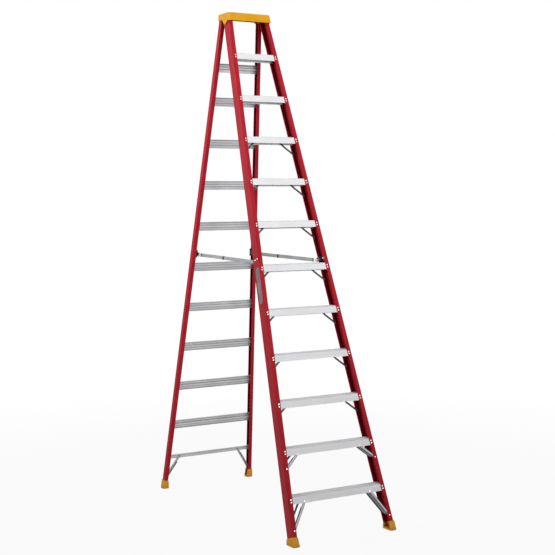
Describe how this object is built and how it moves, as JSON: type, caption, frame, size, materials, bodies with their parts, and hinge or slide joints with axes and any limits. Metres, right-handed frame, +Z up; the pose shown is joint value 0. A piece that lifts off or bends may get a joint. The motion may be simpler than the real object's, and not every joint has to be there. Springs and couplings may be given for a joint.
{
  "type": "folding stepladder",
  "caption": "Tall fibreglass A-frame stepladder with aluminium steps, rear bars, a moulded top cap, rubber boots and folding spreaders.",
  "frame": {"origin": "on the floor, under the middle of the ladder's overall box, standing open", "axes": "+Z up, +Y from the climbing side to the rear section, +X to the climber's right"},
  "size_m": [0.79, 1.948, 3.478],
  "materials": {
    "cap_plastic": "moulded, fine grain",
    "boot_rubber": "moulded rubber, worn",
    "rivet_aluminium": "bright",
    "fibreglass": "pultruded fibreglass, satin",
    "step_aluminium": "mill finish, ribbed tread",
    "bar_aluminium": "mill finish",
    "brace_aluminium": "mill finish",
    "zinc_steel": "zinc plated",
    "black_steel": "black coated"
  },
  "bodies": {
    "front_section": {"top_cap": "cap_plastic", "front_rail_left": "fibreglass", "front_rail_right": "fibreglass", "step_01": "step_aluminium", "step_02": "step_aluminium", "step_03": "step_aluminium", "step_04": "step_aluminium", "step_05": "step_aluminium", "step_06": "step_aluminium", "step_07": "step_aluminium", "step_08": "step_aluminium", "step_09": "step_aluminium", "step_10": "step_aluminium", "step_11": "step_aluminium", "front_foot_left": "boot_rubber", "front_foot_right": "boot_rubber", "front_step_rivets": "rivet_aluminium", "back_step_rivets": "rivet_aluminium", "knee_braces": "brace_aluminium", "knee_brace_rivets": "rivet_aluminium", "second_step_braces": "bar_aluminium", "lowest_step_braces": "bar_aluminium", "front_brace_rivets": "rivet_aluminium", "hinge_pin_left": "zinc_steel", "hinge_pin_right": "zinc_steel", "cap_screws": "zinc_steel", "front_bracket_left": "zinc_steel", "front_bracket_right": "zinc_steel", "front_pivot_left": "zinc_steel", "front_pivot_right": "zinc_steel", "front_web_rivets": "rivet_aluminium"},
    "rear_section": {"rear_rail_left": "fibreglass", "rear_rail_right": "fibreglass", "rear_bar_01": "bar_aluminium", "rear_bar_02": "bar_aluminium", "rear_bar_03": "bar_aluminium", "rear_bar_04": "bar_aluminium", "rear_bar_05": "bar_aluminium", "rear_bar_06": "bar_aluminium", "rear_bar_07": "bar_aluminium", "rear_bar_08": "bar_aluminium", "rear_bar_09": "bar_aluminium", "rear_bar_10": "bar_aluminium", "rear_base_bar": "bar_aluminium", "rear_foot_left": "boot_rubber", "rear_foot_right": "boot_rubber", "rear_bar_rivets": "rivet_aluminium", "base_braces": "bar_aluminium", "base_brace_rivets": "rivet_aluminium", "rear_bracket_left": "black_steel", "rear_bracket_right": "black_steel", "rear_pivots": "black_steel", "rear_web_rivets": "black_steel"},
    "right_front_link": {"front_link_right": "zinc_steel"},
    "left_front_link": {"front_link_left": "zinc_steel"},
    "right_rear_link": {"rear_link_right": "zinc_steel", "knuckle_right": "black_steel"},
    "left_rear_link": {"rear_link_left": "zinc_steel", "knuckle_left": "black_steel"}
  },
  "joints": [
    {"name": "rear_fold", "type": "hinge", "parent": "front_section", "child": "rear_section", "pos_m": [0, 0.32363, 3.445], "axis": [-1, 0, 0], "range_deg": [0, 28.5]},
    {"name": "front_link_right_lift", "type": "hinge", "parent": "front_section", "child": "right_front_link", "pos_m": [0.23624, -0.27626, 1.74845], "axis": [0.9981, 0.0202, 0.059], "range_deg": [0, 65.84]},
    {"name": "front_link_left_lift", "type": "hinge", "parent": "front_section", "child": "left_front_link", "pos_m": [-0.23624, -0.27626, 1.74845], "axis": [0.9981, -0.0202, -0.059], "range_deg": [0, 65.84]},
    {"name": "rear_link_right_lift", "type": "hinge", "parent": "rear_section", "child": "right_rear_link", "pos_m": [0.22451, 0.59465, 1.77466], "axis": [-0.9981, 0.0111, -0.0614], "range_deg": [0, 85.7]},
    {"name": "rear_link_left_lift", "type": "hinge", "parent": "rear_section", "child": "left_rear_link", "pos_m": [-0.22451, 0.59465, 1.77466], "axis": [-0.9981, -0.0111, 0.0614], "range_deg": [0, 85.7]}
  ],
  "couplings": [
    {"joint": "front_link_right_lift", "follows": "rear_fold", "ratio": 2.3094},
    {"joint": "front_link_left_lift", "follows": "rear_fold", "ratio": 2.3094},
    {"joint": "rear_link_right_lift", "follows": "rear_fold", "ratio": 3.0064},
    {"joint": "rear_link_left_lift", "follows": "rear_fold", "ratio": 3.0064}
  ]
}
